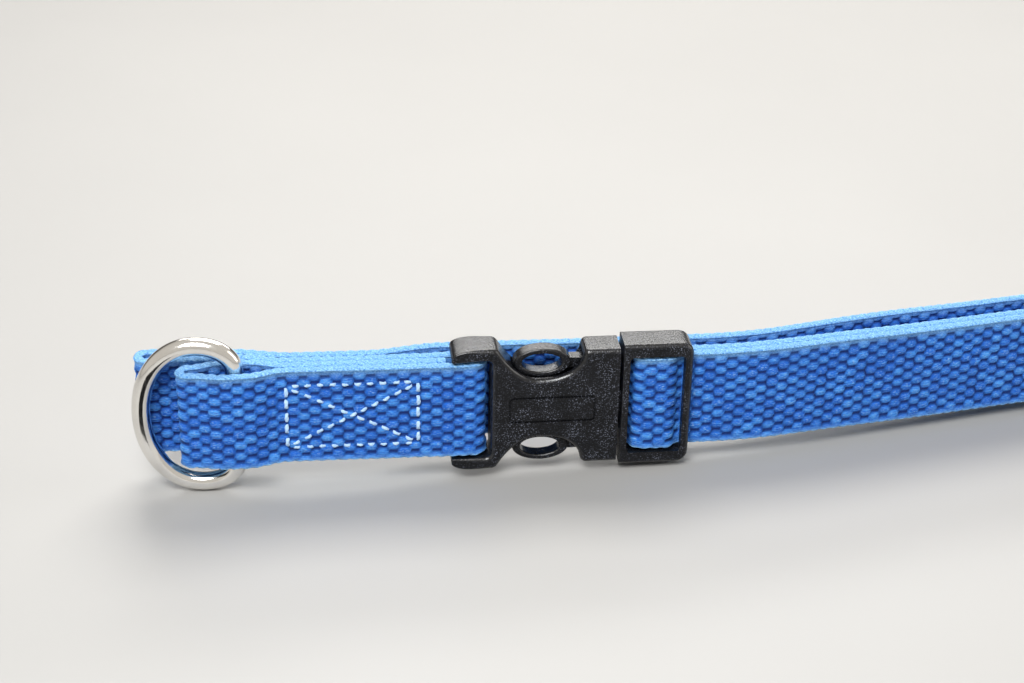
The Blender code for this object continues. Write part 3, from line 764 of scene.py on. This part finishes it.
def scoop_line(n=26):
    """The rim of the hollow, left to right, as (x, z) for the upper side."""
    left = math.sqrt((ARM_Z - WAIST_Z) / SCOOP_K)
    pts = [(SCOOP_X - left * (1 - i / n), WAIST_Z + SCOOP_K * (left * (1 - i / n)) ** 2) for i in range(n)]
    for i in range(n + 1):
        a = math.pi / 2 * i / n
        u, v = math.sin(a) ** (2 / SCOOP_E), max(0.0, math.cos(a)) ** (2 / SCOOP_E)
        pts.append((SCOOP_X + SCOOP_RIGHT * u, WAIST_Z + (ARM_Z - WAIST_Z) * (1 - v)))
    return pts


def pillow(outline, y0, y1, w, segs=6):
    """A plate between y0 and y1 whose outline is rounded over; w(x, z) gives the rounding's radius."""
    pts = [outline[0]]
    for q in outline[1:]:
        if math.dist(q, pts[-1]) > 0.03:
            pts.append(q)
    if math.dist(pts[0], pts[-1]) < 0.03:
        pts.pop()
    p = np.array(pts)
    area = np.sum(p[:, 0] * np.roll(p[:, 1], -1) - np.roll(p[:, 0], -1) * p[:, 1])
    if area < 0:
        p = p[::-1]
    e = np.roll(p, -1, 0) - p
    nx = np.stack([e[:, 1], -e[:, 0]], 1) / np.linalg.norm(e, axis=1)[:, None]
    vn = nx + np.roll(nx, 1, 0)
    vn /= np.linalg.norm(vn, axis=1)[:, None]
    vn /= np.maximum(0.65, np.sum(vn * nx, 1))[:, None]
    r = np.array([w(x, z) for x, z in p])
    bm = bmesh.new()
    rings = []
    for near in (True, False):
        for k in range(segs + 1):
            a = math.pi / 2 * (k / segs if near else 1 - k / segs)
            q = p - vn * (r * (1 - math.sin(a)))[:, None]
            y = (y0 + r * (1 - math.cos(a))) if near else (y1 - r * (1 - math.cos(a)))
            rings.append([bm.verts.new((q[i, 0], y[i], q[i, 1])) for i in range(len(p))])
    n = len(p)
    for a, b in zip(rings, rings[1:]):
        for i in range(n):
            bm.faces.new((a[i], a[(i + 1) % n], b[(i + 1) % n], b[i]))
    bm.faces.new(rings[0][::-1])
    bm.faces.new(rings[-1])
    bmesh.ops.recalc_face_normals(bm, faces=bm.faces)
    return bm


def groove(outer, inner, y0, y1):
    """A closed frame between two outlines of the same point count."""
    bm = bmesh.new()
    n = len(outer)
    loops = [[bm.verts.new((x, y, z)) for x, z in pts] for pts, y in ((outer, y0), (inner, y0), (inner, y1), (outer, y1))]
    for a, b in zip(loops, loops[1:] + loops[:1]):
        for i in range(n):
            bm.faces.new((a[i], a[(i + 1) % n], b[(i + 1) % n], b[i]))
    bmesh.ops.recalc_face_normals(bm, faces=bm.faces)
    return bm


def rect(x0, x1, z):
    return [(x0, -z), (x1, -z), (x1, z), (x0, z)]


def female():
    right = SPLIT_X - JOINT_GAP + 0.05
    spare = 1.0
    rim = [p for p in reversed(scoop_line()) if WAIST_Z - 1 < p[1] < (12.9 if p[0] > SCOOP_X else 14.2)]
    wall, shoulder = SCOOP_X + SCOOP_RIGHT - 0.02, SCOOP_X - math.sqrt((ARM_Z - WAIST_Z) / SCOOP_K)
    tip = []
    for i in range(15):
        a = math.pi / 2 * i / 14
        tip.append((FEMALE_TIP_X + TIP_A - TIP_A * math.sin(a), ARM_Z - TIP_B + TIP_B * math.cos(a)))
    half = [(right + spare, MOUTH_Z), (wall, MOUTH_Z)] + rim + [(shoulder, ARM_Z)] + tip + [(FEMALE_TIP_X, SLOT_Z), (FEMALE_EDGE_X, SLOT_Z)]
    radii_half = [0.0, 1.4] + [0.0] * len(rim) + [2.0] + [0.0] * len(tip) + [0.42, 1.3]
    poly = half + [(x, -z) for x, z in reversed(half)]
    radii = radii_half + list(reversed(radii_half))
    # full rounding on the body, less along the slender arms
    ob = to_object("female_half", pillow(fillet(poly, radii, 8), -BUCKLE_T, 0, lambda x, z: 1.35 - 0.98 * smoothstep((-19.3 - x) / 8.5)), PLASTIC)
    cut(ob, box_bm(right, right + 6, -BUCKLE_T - 4, 4, -20, 20))
    cut(ob, box_bm(-14.5, right + 3, -BUCKLE_T + WALL, -WALL, -MOUTH_Z + WALL, MOUTH_Z - WALL))
    # blank panel: a thin engraved outline
    cut(ob, groove(fillet(rect(-15.2, 5.6, 3.5), 1.3, 6), fillet(rect(-14.65, 5.05, 2.95), 0.75, 6), -BUCKLE_T - 1, -BUCKLE_T + 0.42))
    cut(ob, rod_bm(-26.15, -22.55, MID_Y - 1.3, MID_Y + 1.3, -SLOT_Z - 1, SLOT_Z + 1, 1.1), "UNION")
    return finish_hard(ob, "buckle_female", "female_side")


def male():
    left, r, spare = SPLIT_X + JOINT_GAP + 0.05, 2.9, 0.8
    poly = [(left - spare, -ARM_Z), (MALE_END_X, -ARM_Z), (MALE_END_X, ARM_Z), (left - spare, ARM_Z)]
    ob = to_object("male_half", pillow(fillet(poly, [0.0, r, r, 0.0], 12), -BUCKLE_T, 0, lambda x, z: 1.3), PLASTIC)
    cut(ob, box_bm(left - 6, left, -BUCKLE_T - 4, 4, -20, 20))
    win = prism(fillet([(WINDOW_X[0], -SLOT_Z), (WINDOW_X[1], -SLOT_Z), (WINDOW_X[1], SLOT_Z), (WINDOW_X[0], SLOT_Z)], 1.0, 5), -BUCKLE_T - 2, 2)
    cut(ob, win)
    cut(ob, box_bm(WINDOW_X[1] - 1.0, MALE_END_X + 2, OUTER_Y - 1.4, 2, -SLOT_Z, SLOT_Z))
    cut(ob, rod_bm(16.5, 19.6, MID_Y - 1.3, MID_Y + 1.3, -SLOT_Z - 1, SLOT_Z + 1, 1.2), "UNION")
    tongue = fillet([(left + 1.0, -3.0), (left + 1.0, 3.0), (-10.0, 2.0), (-10.0, -2.0)], [0, 0, 1.5, 1.5], 5)
    cut(ob, prism(tongue, MID_Y - 1.5, MID_Y + 1.5), "UNION")
    return finish_hard(ob, "buckle_male", "male_side")


def oval(cx, cz, a, b, n=64):
    return [(cx + a * math.cos(2 * math.pi * i / n), cz + b * math.sin(2 * math.pi * i / n)) for i in range(n)]


def prong(name, sign, body):
    flip = lambda pts: [(x, sign * z) for x, z in pts]
    # the pad is an oval ring, rounded on its outer rim and round the hole
    ring_bm = groove(flip(oval(PAD_X, PAD_Z, PAD_A, PAD_B)), flip(oval(PAD_X - 0.1, PAD_Z, HOLE_A, HOLE_B)), PAD_Y[0], PAD_Y[1])
    ob = to_object(name, ring_bm, PLASTIC)
    add_bevel(ob, 0.55, 4)
    apply_all(ob)
    end = SPLIT_X + JOINT_GAP - 0.25
    stem = [(end, 9.2), (end, 12.2), (-1.8, 12.4), (-1.8, 9.9)]
    cut(ob, prism(flip(stem), MID_Y - 1.6, MID_Y + 1.3), "UNION")
    return finish_hard(ob, "prong_upper" if sign > 0 else "prong_lower", body)


def slider():
    def place(bm):
        (px, py), h = front_path(SLIDER_S)
        c, s = math.cos(math.radians(h)), math.sin(math.radians(h))
        for v in bm.verts:
            x, y = v.co.x, v.co.y
            v.co.x, v.co.y = px + x * c - y * s, py + x * s + y * c
        return bm

    ob = to_object("adjuster_frame", place(prism(fillet([(-6.8, -15.4), (6.8, -15.4), (6.8, 15.4), (-6.8, 15.4)], 2.0, 8), -3.7, -1.4)), PLASTIC)
    add_bevel(ob, 0.75, 4)
    apply_all(ob)
    cut(ob, place(prism(fillet([(-4.4, -12.9), (4.4, -12.9), (4.4, 12.9), (-4.4, 12.9)], 0.7, 4), -6, 3)))
    for sign in (1, -1):
        z0, z1 = sorted((sign * 12.95, sign * 15.0))
        cut(ob, place(box_bm(-2.3, 2.3, -2.6, 5.9, z0, z1)), "UNION")
    cut(ob, place(rod_bm(-1.5, 1.0, 4.1, 5.7, -14.5, 14.5, 0.6)), "UNION")
    return finish_hard(ob, "tri_glide", "adjuster")


female()
male()
prong("prong_upper_pad", 1, "prong_upper_arm")
prong("prong_lower_pad", -1, "prong_lower_arm")
slider()


# ---------------------------------------------------------------- ring
def ring():
    e, n, sides = 2.1, 140, 40
    ca, cb = RING_CORNER
    zb = RING_HALF - cb
    turn = np.linspace(5, 90, 18)
    pts = [(0.0, z) for z in np.linspace(-zb, zb, 14)]
    pts += [(ca - ca * math.cos(math.radians(a)), zb + cb * math.sin(math.radians(a))) for a in turn]
    for i in range(1, n):
        a = math.pi / 2 - math.pi * i / n
        c, s = math.cos(a), math.sin(a)
        pts.append((ca + (RING_REACH - ca) * abs(c) ** (2 / e), RING_HALF * math.copysign(abs(s) ** (2 / e), s)))
    pts += [(ca - ca * math.cos(math.radians(a)), -(zb + cb * math.sin(math.radians(a)))) for a in turn[::-1]]
    # even spacing keeps the wire round where the bow turns fastest
    p = np.array(pts + [pts[0]])
    s = np.concatenate([[0], np.cumsum(np.hypot(*np.diff(p, axis=0).T))])
    m = 220
    q = np.linspace(0, s[-1], m + 1)[:-1]
    p = np.stack([np.interp(q, s, p[:, 0]), np.interp(q, s, p[:, 1])], 1)
    for _ in range(6):
        p = (np.roll(p, 1, 0) + 2 * p + np.roll(p, -1, 0)) / 4
    lean = math.radians(RING_LEAN)
    verts, faces = [], []
    for i in range(m):
        d = p[(i + 1) % m] - p[i - 1]
        d /= np.hypot(*d)
        nu, nz = d[1], -d[0]
        for k in range(sides):
            a = 2 * math.pi * k / sides
            du, dz, dv = nu * WIRE_R * math.cos(a), nz * WIRE_R * math.cos(a), WIRE_R * math.sin(a)
            reach = p[i][0] + du
            verts.append(((RING_BAR[0] - reach * math.cos(lean) + dv * math.sin(lean)) * MM,
                          (RING_BAR[1] + reach * math.sin(lean) + dv * math.cos(lean)) * MM, (p[i][1] + dz) * MM))
    for i in range(m):
        for k in range(sides):
            i2, k2 = (i + 1) % m, (k + 1) % sides
            faces.append((i * sides + k, i * sides + k2, i2 * sides + k2, i2 * sides + k))
    ob = mesh_object("d_ring_wire", verts, faces, METAL, "ring")
    bm = bmesh.new()
    bm.from_mesh(ob.data)
    bmesh.ops.recalc_face_normals(bm, faces=bm.faces)
    bm.to_mesh(ob.data)
    bm.free()
    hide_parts("d_ring")


ring()


# ---------------------------------------------------------------- stage
def stage():
    k = Nodes("pale_floor")
    n = k.noise(k.obj(), 6.0, 3.0)
    k.link(k.mix(n, rgb(0.39, 0.378, 0.36), rgb(0.435, 0.423, 0.402)), k.p.inputs["Base Color"])
    k.p.inputs["Roughness"].default_value = 0.55
    slope = math.atan2(20.5 - 15.45, 220.0)
    me = bpy.data.meshes.new("floor")
    s = 4.0
    me.from_pydata([(-s, -s, 0), (s, -s, 0), (s, s, 0), (-s, s, 0)], [], [(0, 1, 2, 3)])
    ob = bpy.data.objects.new("floor", me)
    ob.rotation_euler = (0, -slope, 0)
    ob.location = (-0.0885, 0, -0.02050)
    me.materials.append(k.mat)
    bpy.context.scene.collection.objects.link(ob)

    def area(name, loc, size, power, colour, target=(0, 0, 0)):
        d = bpy.data.lights.new(name, "AREA")
        d.shape = "RECTANGLE"
        d.size, d.size_y = size
        d.energy = power
        d.color = colour
        l = bpy.data.objects.new(name, d)
        l.location = loc
        l.rotation_euler = (Vector(target) - Vector(loc)).to_track_quat("-Z", "Y").to_euler()
        l.visible_camera = False
        bpy.context.scene.collection.objects.link(l)

    area("key_back", (0.06, 0.42, 0.66), (0.56, 0.36), 5.2, (1.0, 0.985, 0.96))
    area("fill_front", (-0.22, -0.52, 0.72), (0.5, 0.4), 9.4, (0.97, 0.985, 1.0))
    area("rim_back", (0.12, 0.86, 0.48), (1.1, 0.15), 4.3, (1.0, 0.99, 0.97))
    area("side_right", (0.75, -0.10, 0.35), (0.3, 0.5), 1.2, (1.0, 0.98, 0.95))
    w = bpy.data.worlds.new("studio")
    bpy.context.scene.world = w
    w.use_nodes = True
    t = w.node_tree
    bg = t.nodes["Background"]
    # even soft room light; mirror reflections see a paler, warmer room
    path = t.nodes.new("ShaderNodeLightPath")
    mix = t.nodes.new("ShaderNodeMix")
    mix.data_type = "RGBA"
    t.links.new(path.outputs["Is Glossy Ray"], mix.inputs[0])
    mix.inputs[6].default_value = (0.155, 0.165, 0.18, 1)
    # the room's far side is dark up to the back light, so flat tops stay black beside their highlight
    where = t.nodes.new("ShaderNodeTexCoord")
    axes = t.nodes.new("ShaderNodeSeparateXYZ")
    t.links.new(where.outputs["Generated"], axes.inputs[0])
    ramps = []
    for axis, lo, hi, a, b in (("Z", 0.35, 0.75, 1.0, 0.0), ("Y", 0.30, 0.60, 0.0, 1.0)):
        r = t.nodes.new("ShaderNodeMapRange")
        r.inputs[1].default_value, r.inputs[2].default_value = lo, hi
        r.inputs[3].default_value, r.inputs[4].default_value = a, b
        t.links.new(axes.outputs[axis], r.inputs[0])
        ramps.append(r)
    dark = t.nodes.new("ShaderNodeMath")
    dark.operation = "MULTIPLY"
    t.links.new(ramps[0].outputs[0], dark.inputs[0])
    t.links.new(ramps[1].outputs[0], dark.inputs[1])
    room = t.nodes.new("ShaderNodeMix")
    room.data_type = "RGBA"
    t.links.new(dark.outputs[0], room.inputs[0])
    room.inputs[6].default_value = (0.62, 0.59, 0.545, 1)
    room.inputs[7].default_value = (0.13, 0.12, 0.11, 1)
    t.links.new(room.outputs[2], mix.inputs[7])
    seen = t.nodes.new("ShaderNodeMix")
    seen.data_type = "RGBA"
    t.links.new(path.outputs["Is Camera Ray"], seen.inputs[0])
    t.links.new(mix.outputs[2], seen.inputs[6])
    seen.inputs[7].default_value = (0.52, 0.52, 0.52, 1)
    t.links.new(seen.outputs[2], bg.inputs[0])
    bg.inputs[1].default_value = 1.0
    # painted reflection: a small dark flag that only mirror reflections see stands in for the shade in front of the
    # strap and gives the ring its black streak
    kc = Nodes("painted_reflection_flag")
    kc.link(kc.mix(kc.noise(kc.obj(), 20.0), rgb(0.003, 0.003, 0.003), rgb(0.006, 0.006, 0.006)), kc.p.inputs["Base Color"])
    kc.p.inputs["Roughness"].default_value = 0.9
    me = bpy.data.meshes.new("flag")
    quad = [(-0.1085, -0.0200, -0.0125), (-0.0950, -0.0200, -0.0125), (-0.0950, -0.0200, 0.0065), (-0.1085, -0.0200, 0.0065)]
    me.from_pydata(quad, [], [(0, 1, 2, 3)])
    me.materials.append(kc.mat)
    flag = bpy.data.objects.new("flag", me)
    flag.visible_camera = flag.visible_diffuse = flag.visible_shadow = flag.visible_transmission = False
    bpy.context.scene.collection.objects.link(flag)

    cam = bpy.data.cameras.new("camera")
    co = bpy.data.objects.new("camera", cam)
    bpy.context.scene.collection.objects.link(co)
    D, yaw, pitch, roll, tx, tz, foc = 450.27, 0.1156, 0.4864, 0.0207, -14.31, 16.35, 1913.66
    cy, sy, cp, sp = math.cos(yaw), math.sin(yaw), math.cos(pitch), math.sin(pitch)
    f = Vector((sy * cp, cy * cp, -sp))
    r = Vector((cy, -sy, 0.0))
    u = r.cross(f)
    r2 = r * math.cos(roll) + u * math.sin(roll)
    u2 = u * math.cos(roll) - r * math.sin(roll)
    pos = (Vector((tx, MID_Y, tz)) - f * D) * MM
    co.matrix_world = Matrix(((r2.x, u2.x, -f.x, pos.x), (r2.y, u2.y, -f.y, pos.y), (r2.z, u2.z, -f.z, pos.z), (0, 0, 0, 1)))
    cam.sensor_width = 36.0
    cam.lens = foc / 1024 * 36.0
    cam.clip_start = 0.01
    LOOK.camera = co
    LOOK.view_settings.view_transform = "Standard"


stage()
